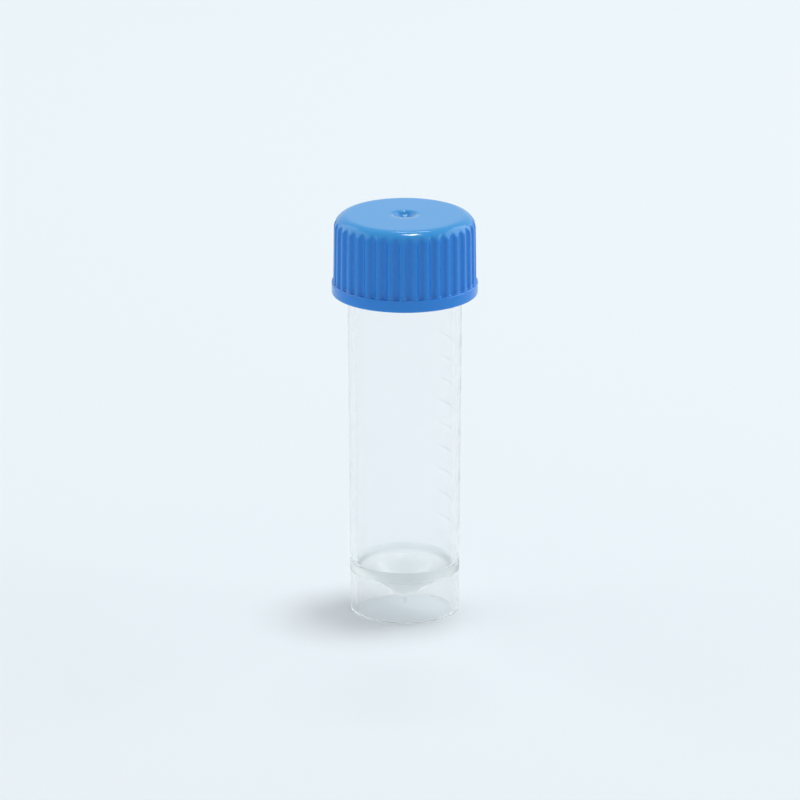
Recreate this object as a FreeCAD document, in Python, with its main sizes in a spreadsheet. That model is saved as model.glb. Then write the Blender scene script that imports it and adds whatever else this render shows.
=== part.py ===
import FreeCAD, Part
import math
import os
import Sketcher

# A self-standing 5 mL cryovial with a fluted screw cap. Millimetres, +Z up.
# The origin is the centre of the ring that the vial stands on.
#   vial       one polypropylene moulding: skirt, conical floor, drafted tube,
#              raised volume lines and a neck with a two-start outside thread
#   screw_cap  one polyethylene moulding: fluted grip, bottom flange, inside
#              thread and a lip that holds the gasket in place
#   seal_ring  the flat gasket that the cap presses on the rim

DIMENSIONS = {
    # tube
    "base_radius": 7.64,
    "wall_taper": 0.0085,
    "shoulder_z": 47.0,
    "neck_radius": 7.8,
    "neck_step": 0.25,
    "rim_z": 55.3,
    "mouth_radius": 7.04,
    "lip_round": 0.25,
    # conical floor, shallower at its edge, and the skirt under it
    "floor_z": 6.88,
    "floor_radius": 6.8,
    "bowl_slope": 27,
    "knee_radius": 4.76,
    "knee_round": 2.0,
    "cone_slope": 37.5,
    "tip_round": 2.3,
    "floor_wall": 0.68,
    "floor_round": 0.8,
    "skirt_mouth_radius": 6.7,
    "skirt_root_radius": 6.6,
    "skirt_edge_round": 0.2,
    "nib_radius": 0.25,
    "nib_end_z": 0.7,
    # raised volume lines, numbered in millilitres
    "line_1_z": 12.1,
    "line_2_z": 18.9,
    "line_3_z": 25.7,
    "line_4_z": 32.3,
    "line_5_z": 38.9,
    "line_width": 0.35,
    "line_relief": 0.08,
    "line_end_angle": 50,
    "long_line_angle": 70,
    "short_line_angle": 44,
    # two-start right-hand thread
    "thread_starts": 2,
    "thread_lead": 5,
    "thread_turns": 1,
    "flank_angle": 30,
    "thread_root": 0.2,
    "neck_thread_z": 48.6,
    "neck_thread_radius": 8.5,
    "neck_thread_base": 1.2,
    "cap_thread_drop": 0.8,
    "cap_thread_radius": 8.05,
    "cap_thread_base": 1.05,
    # cap
    "cap_bottom_z": 46.4,
    "cap_top_z": 57.8,
    "cap_bore_radius": 8.7,
    "cap_mouth_chamfer": 0.4,
    "ceiling_z": 56.5,
    "flange_radius": 10.265,
    "flange_thickness": 1.75,
    "flange_top_round": 0.15,
    "flange_bottom_round": 0.3,
    "grip_top_radius": 9.96,
    "grip_taper": 0.011,
    "shoulder_round": 2.0,
    "lip_inner_radius": 5.75,
    "lip_outer_radius": 6.55,
    "lip_end_z": 54.3,
    "gate_radius": 1.55,
    "gate_depth": 0.4,
    "gate_nub_radius": 0.38,
    "gate_nub_top_z": 57.7,
    # flutes of the grip
    "flute_count": 36,
    "flute_phase": 3,
    "valley_radius": 9.5,
    "crest_radius": 9.97,
    "crest_round": 0.45,
    "flute_cut_radius": 11,
    # gasket
    "seal_inner_radius": 6.65,
    "seal_outer_radius": 8.3,
}

doc = FreeCAD.newDocument("cryovial")
sheet = doc.addObject("Spreadsheet::Sheet", "dims")
for row, (alias, value) in enumerate(DIMENSIONS.items(), start=1):
    sheet.set(f"A{row}", alias)
    sheet.set(f"B{row}", str(value))
    sheet.setAlias(f"B{row}", alias)
doc.recompute()


def origin_plane(body, role):
    """One of the body's own origin planes, such as XZ_Plane."""
    return next(item for item in body.Origin.OriginFeatures if item.Role == role)


def new_body(label):
    body = doc.addObject("PartDesign::Body", label)
    body.Label = label
    return body


def new_sketch(body, name, role):
    sketch = body.newObject("Sketcher::SketchObject", name)
    sketch.AttachmentSupport = [(origin_plane(body, role), "")]
    sketch.MapMode = "FlatFace"
    return sketch


def evaluate(text):
    """The number that an expression over the sheet's aliases stands for."""
    value = sheet.evalExpression(text)
    return float(getattr(value, "Value", value))


def bind(sketch, kind, places, expression):
    """Add a dimension to a sketch and drive it by an expression over the sheet."""
    constraint = Sketcher.Constraint(kind, *places, evaluate(expression))
    index = sketch.addConstraint(constraint)
    sketch.setExpression(f"Constraints[{index}]", expression)


def fix_point(sketch, geometry, position, direction, expression):
    """Pin the X or Y of a sketch point to an expression, or to the axis where that is 0."""
    if abs(evaluate(expression)) < 1e-9:
        axis = -2 if direction == "X" else -1
        sketch.addConstraint(Sketcher.Constraint("PointOnObject", geometry, position, axis))
    else:
        bind(sketch, f"Distance{direction}", (-1, 1, geometry, position), expression)


def closed_profile(body, name, points, arcs=None, role="XZ_Plane"):
    """A closed sketch through points (x, y), each coordinate an expression over the sheet.

    arcs maps the number of a side to (centre x, centre y, radius, turns left); both ends
    of such a side need only their x.
    """
    arcs = arcs or {}
    sketch = new_sketch(body, name, role)
    corners = [FreeCAD.Vector(evaluate(x), evaluate(y), 0) for x, y in points]
    count = len(corners)
    for side, start in enumerate(corners):
        end = corners[(side + 1) % count]
        if side in arcs:
            centre_x, centre_y, radius, turns_left = arcs[side]
            centre = FreeCAD.Vector(evaluate(centre_x), evaluate(centre_y), 0)
            circle = Part.Circle(centre, FreeCAD.Vector(0, 0, 1), evaluate(radius))
            ends = [circle.parameter(start), circle.parameter(end)]
            if not turns_left:
                ends.reverse()
            sketch.addGeometry(Part.ArcOfCircle(circle, ends[0], ends[1]))
        else:
            sketch.addGeometry(Part.LineSegment(start, end))
    for side in range(count):
        after = (side + 1) % count
        leaving = 2 if side not in arcs or arcs[side][3] else 1
        arriving = 1 if after not in arcs or arcs[after][3] else 2
        sketch.addConstraint(Sketcher.Constraint("Coincident", side, leaving, after, arriving))
    for side, (centre_x, centre_y, radius, _) in arcs.items():
        fix_point(sketch, side, 3, "X", centre_x)
        fix_point(sketch, side, 3, "Y", centre_y)
        bind(sketch, "Radius", (side,), radius)
    for side, (x, y) in enumerate(points):
        before = (side - 1) % count
        position = 1 if side not in arcs or arcs[side][3] else 2
        fix_point(sketch, side, position, "X", x)
        if side not in arcs and before not in arcs:
            fix_point(sketch, side, position, "Y", y)
    doc.recompute()
    return sketch


def revolve(body, kind, name, sketch):
    """Turn a sketch on the XZ plane once round the Z axis: an added Revolution or a cut Groove."""
    feature = body.newObject(f"PartDesign::{kind}", name)
    feature.Profile = sketch
    feature.ReferenceAxis = (sketch, ["V_Axis"])
    feature.Angle = 360
    doc.recompute()
    return feature


def require_change(body, volume_before, sign):
    """Stop if the last feature did not add material (sign 1) or take it away (sign -1)."""
    if (body.Tip.Shape.Volume - volume_before) * sign <= 0.01:
        raise RuntimeError(f"{body.Tip.Name} changed nothing")


def round_edges(body, name, radius, places):
    """Fillet the circular edges that lie at the given (radius, height) expressions."""
    base = body.Tip
    wanted = [(evaluate(r), evaluate(z)) for r, z in places]
    names = []
    for number, edge in enumerate(base.Shape.Edges, start=1):
        if edge.Degenerated or not isinstance(edge.Curve, Part.Circle):
            continue
        for r, z in wanted:
            if abs(edge.Curve.Radius - r) < 1e-4 and abs(edge.Curve.Center.z - z) < 1e-4:
                names.append(f"Edge{number}")
    fillet = body.newObject("PartDesign::Fillet", name)
    fillet.Base = (base, names)
    fillet.setExpression("Radius", radius)
    doc.recompute()
    return fillet


def pattern(body, name, feature, sketch, axis, count):
    """Repeat a feature evenly round an axis of its sketch."""
    copies = body.newObject("PartDesign::PolarPattern", name)
    copies.Originals = [feature]
    copies.Axis = (sketch, [axis])
    copies.Angle = 360
    copies.setExpression("Occurrences", count)
    body.Tip = copies
    doc.recompute()
    return copies


def thread(body, name, points):
    """Right-hand ridges that climb the Z axis, evenly spaced round it."""
    section = closed_profile(body, f"{name}_section", points)
    ridge = body.newObject("PartDesign::AdditiveHelix", f"{name}_ridge")
    ridge.Profile = section
    ridge.ReferenceAxis = (section, ["V_Axis"])
    ridge.Mode = "pitch-turns-angle"
    ridge.setExpression("Pitch", "dims.thread_lead")
    ridge.setExpression("Turns", "dims.thread_turns")
    doc.recompute()
    plain_volume = ridge.BaseFeature.Shape.Volume
    pattern(body, f"{name}_starts", ridge, section, "V_Axis", "dims.thread_starts")
    require_change(body, plain_volume, 1)


def ridge_section(root, crest, middle, base):
    """A trapezoid that stands on the wall at radius root and narrows to radius crest."""
    outward = 1 if evaluate(crest) > evaluate(root) else -1
    buried = f"{root} - {outward} * dims.thread_root"
    half_root = f"({base} / 2 + dims.thread_root * tan(dims.flank_angle))"
    half_crest = f"({base} / 2 - {outward} * ({crest} - {root}) * tan(dims.flank_angle))"
    return [
        (buried, f"{middle} - {half_root}"),
        (crest, f"{middle} - {half_crest}"),
        (crest, f"{middle} + {half_crest}"),
        (buried, f"{middle} + {half_root}"),
    ]


# Heights and radii that follow from the sheet.
KNEE_Z = "(dims.floor_z - (dims.floor_radius - dims.knee_radius) * tan(dims.bowl_slope))"
CONE_CENTRE_Z = (
    f"({KNEE_Z} - dims.knee_radius * tan(dims.cone_slope) + dims.tip_round / cos(dims.cone_slope))"
)
UNDER_ROUND = "(dims.tip_round + dims.floor_wall)"
UNDER_TIP_X = f"{UNDER_ROUND} * sin(dims.cone_slope)"
UNDER_TIP_Z = f"({CONE_CENTRE_Z} - {UNDER_ROUND} * cos(dims.cone_slope))"
UNDER_CONE_Z = f"({CONE_CENTRE_Z} - {UNDER_ROUND} / cos(dims.cone_slope))"
UNDER_BOWL_Z = (
    f"({KNEE_Z} - dims.knee_radius * tan(dims.bowl_slope) - dims.floor_wall / cos(dims.bowl_slope))"
)
UNDER_KNEE_X = (
    f"(({UNDER_BOWL_Z} - {UNDER_CONE_Z}) / (tan(dims.cone_slope) - tan(dims.bowl_slope)))"
)
UNDER_KNEE_Z = f"({UNDER_BOWL_Z} + {UNDER_KNEE_X} * tan(dims.bowl_slope))"
SKIRT_ROOT_Z = f"({UNDER_BOWL_Z} + dims.skirt_root_radius * tan(dims.bowl_slope))"
TUBE_TOP_RADIUS = "dims.base_radius + dims.wall_taper * dims.shoulder_z"
NIB_ROOT_Z = f"{CONE_CENTRE_Z} - sqrt({UNDER_ROUND}^2 - dims.nib_radius^2)"


def build_vial():
    """The outside with its skirt, the volume lines, the bore, the roundings and the thread."""
    body = new_body("vial")
    outside = closed_profile(
        body,
        "vial_outside",
        [
            ("0", "dims.nib_end_z"),
            ("dims.nib_radius", "dims.nib_end_z"),
            ("dims.nib_radius", NIB_ROOT_Z),
            (UNDER_TIP_X, UNDER_TIP_Z),
            (UNDER_KNEE_X, UNDER_KNEE_Z),
            ("dims.skirt_root_radius", SKIRT_ROOT_Z),
            ("dims.skirt_mouth_radius", "0"),
            ("dims.base_radius", "0"),
            (TUBE_TOP_RADIUS, "dims.shoulder_z"),
            ("dims.neck_radius", "dims.shoulder_z + dims.neck_step"),
            ("dims.neck_radius", "dims.rim_z"),
            ("0", "dims.rim_z"),
        ],
        {2: ("0", CONE_CENTRE_Z, UNDER_ROUND, True)},
    )
    revolve(body, "Revolution", "vial_solid", outside)
    for millilitres in range(1, 6):
        height = f"dims.line_{millilitres}_z"
        volume_line(body, f"long_line_{millilitres}", height, "dims.long_line_angle")
        if millilitres < 5:
            middle = f"(dims.line_{millilitres}_z + dims.line_{millilitres + 1}_z) / 2"
            volume_line(body, f"short_line_{millilitres}", middle, "dims.short_line_angle")
    bore = closed_profile(
        body,
        "vial_bore",
        [
            ("0", f"{CONE_CENTRE_Z} - dims.tip_round"),
            (
                "dims.tip_round * sin(dims.cone_slope)",
                f"{CONE_CENTRE_Z} - dims.tip_round * cos(dims.cone_slope)",
            ),
            ("dims.knee_radius", KNEE_Z),
            ("dims.floor_radius", "dims.floor_z"),
            ("dims.mouth_radius", "dims.rim_z"),
            ("0", "dims.rim_z"),
        ],
        {0: ("0", CONE_CENTRE_Z, "dims.tip_round", True)},
    )
    solid_volume = body.Tip.Shape.Volume
    revolve(body, "Groove", "vial_hollow", bore)
    require_change(body, solid_volume, -1)
    round_edges(body, "floor_rounding", "dims.floor_round", [("dims.floor_radius", "dims.floor_z")])
    round_edges(
        body,
        "knee_rounding",
        "dims.knee_round",
        [("dims.knee_radius", KNEE_Z), (UNDER_KNEE_X, UNDER_KNEE_Z)],
    )
    round_edges(
        body,
        "skirt_rounding",
        "dims.skirt_edge_round",
        [("dims.skirt_mouth_radius", "0"), ("dims.base_radius", "0")],
    )
    round_edges(
        body,
        "lip_rounding",
        "dims.lip_round",
        [("dims.mouth_radius", "dims.rim_z"), ("dims.neck_radius", "dims.rim_z")],
    )
    thread(
        body,
        "neck_thread",
        ridge_section(
            "dims.neck_radius",
            "dims.neck_thread_radius",
            "dims.neck_thread_z",
            "dims.neck_thread_base",
        ),
    )
    return body


def volume_line(body, name, height, sweep):
    """A raised line round part of the tube: a disc sector that the bore later makes a rib."""
    line = body.newObject("PartDesign::AdditiveCylinder", name)
    line.AttachmentSupport = [(origin_plane(body, "XY_Plane"), "")]
    line.MapMode = "FlatFace"
    line.setExpression("Radius", f"dims.base_radius + dims.wall_taper * {height} + dims.line_relief")
    line.setExpression("Height", "dims.line_width")
    line.setExpression("Angle", sweep)
    line.AttachmentOffset = FreeCAD.Placement(
        FreeCAD.Vector(0, 0, 0), FreeCAD.Rotation(FreeCAD.Vector(0, 0, 1), 1)
    )
    line.setExpression("AttachmentOffset.Base.z", f"{height} - dims.line_width / 2")
    line.setExpression("AttachmentOffset.Rotation.Angle", f"dims.line_end_angle - {sweep}")
    doc.recompute()
    return line


FLANGE_TOP_Z = "(dims.cap_bottom_z + dims.flange_thickness)"
GRIP_FOOT_RADIUS = f"dims.grip_top_radius + dims.grip_taper * (dims.cap_top_z - {FLANGE_TOP_Z})"
GATE_ROUND = "((dims.gate_radius^2 + dims.gate_depth^2) / (2 * dims.gate_depth))"
GATE_CENTRE_Z = f"(dims.cap_top_z - dims.gate_depth + {GATE_ROUND})"


def build_cap():
    """The revolved shell, its roundings, the flutes of the grip and the inside thread."""
    body = new_body("screw_cap")
    shell = closed_profile(
        body,
        "cap_shell",
        [
            ("0", "dims.ceiling_z"),
            ("dims.lip_inner_radius", "dims.ceiling_z"),
            ("dims.lip_inner_radius", "dims.lip_end_z"),
            ("dims.lip_outer_radius", "dims.lip_end_z"),
            ("dims.lip_outer_radius", "dims.ceiling_z"),
            ("dims.cap_bore_radius", "dims.ceiling_z"),
            ("dims.cap_bore_radius", "dims.cap_bottom_z + dims.cap_mouth_chamfer"),
            ("dims.cap_bore_radius + dims.cap_mouth_chamfer", "dims.cap_bottom_z"),
            ("dims.flange_radius", "dims.cap_bottom_z"),
            ("dims.flange_radius", FLANGE_TOP_Z),
            (GRIP_FOOT_RADIUS, FLANGE_TOP_Z),
            ("dims.grip_top_radius", "dims.cap_top_z"),
            ("dims.gate_radius", "dims.cap_top_z"),
            (
                "dims.gate_nub_radius",
                f"{GATE_CENTRE_Z} - sqrt({GATE_ROUND}^2 - dims.gate_nub_radius^2)",
            ),
            ("dims.gate_nub_radius", "dims.gate_nub_top_z"),
            ("0", "dims.gate_nub_top_z"),
        ],
        {12: ("0", GATE_CENTRE_Z, GATE_ROUND, False)},
    )
    revolve(body, "Revolution", "cap_solid", shell)
    round_edges(
        body, "shoulder_rounding", "dims.shoulder_round", [("dims.grip_top_radius", "dims.cap_top_z")]
    )
    round_edges(
        body, "flange_top_rounding", "dims.flange_top_round", [("dims.flange_radius", FLANGE_TOP_Z)]
    )
    round_edges(
        body,
        "flange_bottom_rounding",
        "dims.flange_bottom_round",
        [("dims.flange_radius", "dims.cap_bottom_z")],
    )
    cut_flutes(body)
    thread(
        body,
        "cap_thread",
        ridge_section(
            "dims.cap_bore_radius",
            "dims.cap_thread_radius",
            "dims.neck_thread_z - dims.cap_thread_drop",
            "dims.cap_thread_base",
        ),
    )
    return body


def flute_section(body):
    """One flute seen from above: a round valley that runs into half a rib on either side."""
    half_pitch = "180 / dims.flute_count"
    rib_x = f"((dims.crest_radius - dims.crest_round) * cos({half_pitch}))"
    rib_y = f"((dims.crest_radius - dims.crest_round) * sin({half_pitch}))"
    inset = f"({rib_x} - dims.valley_radius)"
    valley_round = f"(({inset}^2 + {rib_y}^2 - dims.crest_round^2) / 2 / (dims.crest_round + {inset}))"
    valley_x = f"(dims.valley_radius + {valley_round})"

    def arc(centre_x, centre_y, radius, start, end):
        centre = FreeCAD.Vector(evaluate(centre_x), evaluate(centre_y), 0)
        circle = Part.Circle(centre, FreeCAD.Vector(0, 0, 1), evaluate(radius))
        return Part.ArcOfCircle(circle, start, end)

    lean = math.atan2(evaluate(rib_y), evaluate(valley_x) - evaluate(rib_x))
    sketch = new_sketch(body, "flute_section", "XY_Plane")
    valley = sketch.addGeometry(arc(valley_x, "0", valley_round, math.pi - lean, math.pi + lean))
    upper = sketch.addGeometry(arc(rib_x, rib_y, "dims.crest_round", -lean, 0))
    lower = sketch.addGeometry(arc(rib_x, f"-1 * {rib_y}", "dims.crest_round", 0, lean))
    rib_edge = evaluate(f"{rib_x} + dims.crest_round")
    outer_x = evaluate("dims.flute_cut_radius")
    side_y = evaluate(rib_y)
    corners = [
        FreeCAD.Vector(rib_edge, side_y, 0),
        FreeCAD.Vector(outer_x, side_y / 2, 0),
        FreeCAD.Vector(outer_x, -side_y / 2, 0),
        FreeCAD.Vector(rib_edge, -side_y, 0),
    ]
    sides = [
        sketch.addGeometry(Part.LineSegment(start, end)) for start, end in zip(corners, corners[1:])
    ]
    for constraint in (
        ("Tangent", valley, 1, upper, 1),
        ("Tangent", valley, 2, lower, 2),
        ("Equal", upper, lower),
        ("Horizontal", upper, 3, upper, 2),
        ("Horizontal", lower, 3, lower, 1),
        ("PointOnObject", valley, 3, -1),
        ("Coincident", upper, 2, sides[0], 1),
        ("Coincident", sides[0], 2, sides[1], 1),
        ("Coincident", sides[1], 2, sides[2], 1),
        ("Coincident", sides[2], 2, lower, 1),
        ("Symmetric", sides[1], 1, sides[1], 2, -1),
    ):
        sketch.addConstraint(Sketcher.Constraint(*constraint))
    bind(sketch, "DistanceX", (-1, 1, valley, 3), valley_x)
    bind(sketch, "Radius", (valley,), valley_round)
    bind(sketch, "Radius", (upper,), "dims.crest_round")
    bind(sketch, "DistanceY", (-1, 1, upper, 3), rib_y)
    bind(sketch, "DistanceY", (lower, 3, -1, 1), rib_y)
    bind(sketch, "DistanceX", (-1, 1, sides[1], 1), "dims.flute_cut_radius")
    bind(sketch, "DistanceY", (sides[1], 2, sides[1], 1), rib_y)
    return sketch


def cut_flutes(body):
    """Flutes from above the shoulder down to the flange, parallel to the grip's taper."""
    phase = FreeCAD.Rotation(FreeCAD.Vector(0, 0, 1), evaluate("dims.flute_phase"))
    grip_slope = phase.multVec(FreeCAD.Vector(evaluate("dims.grip_taper"), 0, -1))
    section = flute_section(body)
    section.AttachmentOffset = FreeCAD.Placement(
        FreeCAD.Vector(0, 0, 0), FreeCAD.Rotation(FreeCAD.Vector(0, 0, 1), 1)
    )
    section.setExpression("AttachmentOffset.Base.z", "dims.cap_top_z + dims.flange_thickness")
    section.setExpression("AttachmentOffset.Rotation.Angle", "dims.flute_phase")
    doc.recompute()
    flute = body.newObject("PartDesign::Pocket", "flute")
    flute.Profile = section
    flute.UseCustomVector = True
    flute.AlongSketchNormal = True
    flute.Direction = grip_slope
    flute.setExpression("Length", "dims.cap_top_z - dims.cap_bottom_z")
    doc.recompute()
    plain_volume = body.Tip.BaseFeature.Shape.Volume
    pattern(body, "flutes", flute, section, "N_Axis", "dims.flute_count")
    require_change(body, plain_volume, -1)


def build_seal():
    """The flat gasket between the rim and the cap's ceiling."""
    body = new_body("seal_ring")
    section = new_sketch(body, "seal_section", "XY_Plane")
    section.setExpression("AttachmentOffset.Base.z", "dims.rim_z")
    for edge, radius in enumerate(("dims.seal_outer_radius", "dims.seal_inner_radius")):
        circle = Part.Circle(FreeCAD.Vector(0, 0, 0), FreeCAD.Vector(0, 0, 1), evaluate(radius))
        section.addGeometry(circle)
        section.addConstraint(Sketcher.Constraint("Coincident", edge, 3, -1, 1))
        bind(section, "Radius", (edge,), radius)
    ring = body.newObject("PartDesign::Pad", "seal_pad")
    ring.Profile = section
    ring.setExpression("Length", "dims.ceiling_z - dims.rim_z")
    doc.recompute()
    return body


def export(sub_parts):
    """Check the whole document, then write each sub-part to its own STEP file."""
    doc.recompute()
    failed = [item.Name for item in doc.Objects if {"Invalid", "Error"} & set(item.State)]
    if failed:
        raise RuntimeError(f"failed objects: {failed}")
    for body in sub_parts:
        shape = body.Shape
        if shape.isNull() or not shape.isValid() or len(shape.Solids) != 1:
            raise RuntimeError(f"{body.Label} is not one valid solid")
    os.makedirs("parts", exist_ok=True)
    for body in sub_parts:
        body.Shape.exportStep(f"parts/{body.Label}.step")
        print(f"{body.Label}: {body.Shape.Volume:.1f} mm3")


export([build_vial(), build_cap(), build_seal()])
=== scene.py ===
import math

import bpy
import numpy as np
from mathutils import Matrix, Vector


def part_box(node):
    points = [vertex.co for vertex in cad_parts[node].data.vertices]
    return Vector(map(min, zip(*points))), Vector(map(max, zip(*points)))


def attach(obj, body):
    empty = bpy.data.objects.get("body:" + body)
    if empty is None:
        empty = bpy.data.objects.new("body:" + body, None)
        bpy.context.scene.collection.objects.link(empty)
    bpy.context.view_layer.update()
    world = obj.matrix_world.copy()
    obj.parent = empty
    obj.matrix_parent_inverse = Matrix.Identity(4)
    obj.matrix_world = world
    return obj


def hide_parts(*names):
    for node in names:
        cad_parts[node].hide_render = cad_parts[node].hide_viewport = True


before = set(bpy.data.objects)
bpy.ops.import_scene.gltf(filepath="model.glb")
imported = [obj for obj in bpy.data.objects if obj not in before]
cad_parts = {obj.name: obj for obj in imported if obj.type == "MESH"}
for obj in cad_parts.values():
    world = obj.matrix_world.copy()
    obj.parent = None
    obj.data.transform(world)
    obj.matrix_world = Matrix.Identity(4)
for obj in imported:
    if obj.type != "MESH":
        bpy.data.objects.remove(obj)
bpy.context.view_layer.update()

# A self-standing cryovial with a fluted blue cap: the look of the three mouldings.
# Sizes are in millimetres and become metres when a mesh is made. Roundings are radii.
MM = 0.001


def node_box(node):
    """Lowest and highest corner of a CAD node, in millimetres."""
    low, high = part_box(node)
    return np.array(low) / MM, np.array(high) / MM


VIAL_LOW, VIAL_HIGH = node_box("vial")
CAP_LOW, CAP_HIGH = node_box("screw_cap")
SEAL_LOW, SEAL_HIGH = node_box("seal_ring")

# tube
BASE_RADIUS = 7.64
WALL_TAPER = 0.0085
SHOULDER_Z = 47.0
NECK_RADIUS = 7.8
NECK_STEP = 0.25
NECK_ROOT_ROUND = 0.3
NECK_STEP_ROUND = 0.15
RIM_Z = VIAL_HIGH[2]
MOUTH_RADIUS = 7.04
LIP_ROUND = 0.25

# conical floor, and the skirt under it
FLOOR_Z = 6.88
FLOOR_RADIUS = 6.8
BOWL_SLOPE = math.radians(27)
KNEE_RADIUS = 4.76
KNEE_ROUND = 2.0
CONE_SLOPE = math.radians(37.5)
TIP_ROUND = 2.3
FLOOR_WALL = 0.68
FLOOR_ROUND = 0.8
UNDER_FLOOR_ROUND = 0.15
SKIRT_MOUTH_RADIUS = 6.7
SKIRT_ROOT_RADIUS = 6.6
SKIRT_EDGE_ROUND = 0.2
NIB_RADIUS = 0.25
NIB_END_Z = 0.7
NIB_END_ROUND = 0.08
NIB_ROOT_ROUND = 0.1

# where the tube's plastic is cloudy: the floor's underside with its nib, the corner round
# its top, and the ring of the outside wall beside it
CLOUDY_NIB_Z = 1.6
CLOUDY_CORNER_WIDTH = 0.7
CLOUDY_CORNER_MIDDLE_Z = FLOOR_Z + 0.1
CLOUDY_CORNER_HALF_HEIGHT = 0.6
CLOUDY_RING_LOW_Z = 6.0
CLOUDY_RING_HIGH_Z = 7.4

# raised volume lines, from 1 to 5 millilitres, and the numerals beside them; angles are
# degrees from +X towards +Y
LINE_HEIGHTS = (12.1, 18.9, 25.7, 32.3, 38.9)
LINE_WIDTH = 0.35
LINE_RELIEF = 0.065
LINE_END = 50.0
LONG_LINE_END = -20.0
SHORT_LINE_END = 6.0
LINE_FADE_START = 30.0
LINE_FADE_END = -5.0
LINE_FADE_SHARE = 0.3
STROKE_EDGE = 0.12
NUMERAL_AZIMUTH = 70.0
NUMERAL_WIDTH = 1.7
NUMERAL_HEIGHT = 2.7
NUMERAL_STROKE = 0.36
NUMERAL_RELIEF = 0.06
NUMERAL_RISE = 0.3

# two-start right-hand thread
THREAD_STARTS = 2
THREAD_LEAD = 5.0
FLANK_SLOPE = math.tan(math.radians(30))
THREAD_TURNS = 1
THREAD_RUN_OUT = math.radians(22)
THREAD_CREST_BLEND = 0.03
NECK_THREAD_Z = 48.6
NECK_THREAD_RELIEF = VIAL_HIGH[0] - NECK_RADIUS
NECK_THREAD_BASE = 1.2
CAP_THREAD_DROP = 0.8
CAP_THREAD_RELIEF = 0.65
CAP_THREAD_BASE = 1.05

# cap
CAP_BOTTOM_Z = CAP_LOW[2]
CAP_TOP_Z = CAP_HIGH[2]
CAP_BORE_RADIUS = 8.7
CAP_MOUTH_CHAMFER = 0.4
CEILING_Z = SEAL_HIGH[2]
FLANGE_RADIUS = CAP_HIGH[0]
FLANGE_THICKNESS = 1.75
FLANGE_TOP_Z = CAP_BOTTOM_Z + FLANGE_THICKNESS
FLANGE_BOTTOM_ROUND = 0.3
FLANGE_TOP_ROUND = 0.17
GRIP_TOP_RADIUS = 9.96
GRIP_TAPER = 0.011
SHOULDER_ROUND = 2.0
LIP_INNER_RADIUS = 5.75
LIP_OUTER_RADIUS = 6.55
LIP_END_Z = 54.3
LIP_END_ROUND = 0.25
LIP_ROOT_ROUND = 0.2
GATE_RADIUS = 1.55
GATE_DEPTH = 0.9
GATE_BOWL_POWER = 0.9
GATE_NUB_RADIUS = 0.32
GATE_NUB_HEIGHT = 0.75
GATE_TORN_SHARE = 0.17

# flutes of the grip, at the height where the cap's top would meet them
FLUTES = 36
FLUTE_PHASE = math.radians(3)
VALLEY_RADIUS = 9.5
CREST_RADIUS = 10.0
CREST_ROUND = 0.45
FLUTE_BLEND = 0.1
FOOT_ROUND = 0.3
FOOT_LEDGE = 0.02
FOOT_ROW_SHARES = np.array([0.04, 0.15, 0.35, 0.6, 1.0])
COLUMNS_PER_FLUTE = 14

# gasket
SEAL_INNER_RADIUS = 6.65
SEAL_EDGE_ROUND = 0.12
SEAL_COLUMNS = 160


# ---------------------------------------------------------------- surfaces

def tip_arc(radius, centre_z, slope, steps):
    """Half of a rounded cone tip, from the axis outwards.

    Formula: r = R sin t, z = centre - R cos t, for t from 0 to the cone's slope.
    """
    t = np.linspace(0, slope, steps + 1)
    return np.stack([radius * np.sin(t), centre_z - radius * np.cos(t)], axis=1)


def rounded_path(corners, arc_step=math.radians(15)):
    """A polyline through corners (r, z, rounding, stops) with each corner turned into an arc.

    The arc touches both sides at rounding * tan(turn / 2) from the corner, and its points turn
    evenly from one side's direction to the other's. stops divides the straight run after a
    corner: a number is the largest spacing, an array is the heights at which points lie.
    """
    points = [np.array(corner[:2], float) for corner in corners]
    ends = []
    path = []
    for i, (point, corner) in enumerate(zip(points, corners)):
        rounding = corner[2]
        if rounding == 0 or i in (0, len(points) - 1):
            ends.append((point, point))
            continue
        back = (points[i - 1] - point) / np.linalg.norm(points[i - 1] - point)
        ahead = (points[i + 1] - point) / np.linalg.norm(points[i + 1] - point)
        turn = math.pi - math.acos(np.clip(back @ ahead, -1, 1))
        reach = rounding * math.tan(turn / 2)
        ends.append((point + back * reach, point + ahead * reach))
    for i, (corner, (start, end)) in enumerate(zip(corners, ends)):
        path.append(start[None])
        if np.any(start != end):
            path.append(arc_between(points[i], start, end, corner[2], arc_step))
            path.append(end[None])
        if i + 1 < len(corners) and len(corner) > 3:
            path.append(run_between(end, ends[i + 1][0], corner[3]))
    return np.concatenate(path)


def arc_between(corner, start, end, rounding, arc_step):
    """The inner points of the arc that touches corner-start at start and corner-end at end."""
    middle = (start + end) / 2
    inward = (middle - corner) / np.linalg.norm(middle - corner)
    half = np.linalg.norm(end - start) / 2
    centre = middle + inward * math.sqrt(max(rounding**2 - half**2, 0))
    first = math.atan2(*(start - centre)[::-1])
    sweep = math.atan2(*(end - centre)[::-1]) - first
    sweep = (sweep + math.pi) % (2 * math.pi) - math.pi
    steps = max(2, math.ceil(abs(sweep) / arc_step))
    t = first + sweep * np.arange(1, steps) / steps
    return centre + rounding * np.stack([np.cos(t), np.sin(t)], axis=1)


def run_between(start, end, stops):
    """Points inside a straight run: evenly spaced, or at given heights."""
    if np.ndim(stops):
        share = (np.asarray(stops) - start[1]) / (end[1] - start[1])
        share = np.sort(share[(share > 0.001) & (share < 0.999)])
    else:
        count = max(1, math.ceil(np.linalg.norm(end - start) / stops))
        share = np.arange(1, count) / count
    return start + share[:, None] * (end - start)


def spaced(values, least):
    """Sorted values without those that lie closer than least to the one before."""
    values = np.unique(np.round(values, 4))
    keep = [values[0]]
    for value in values[1:]:
        if value - keep[-1] >= least:
            keep.append(value)
    return np.array(keep)


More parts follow.
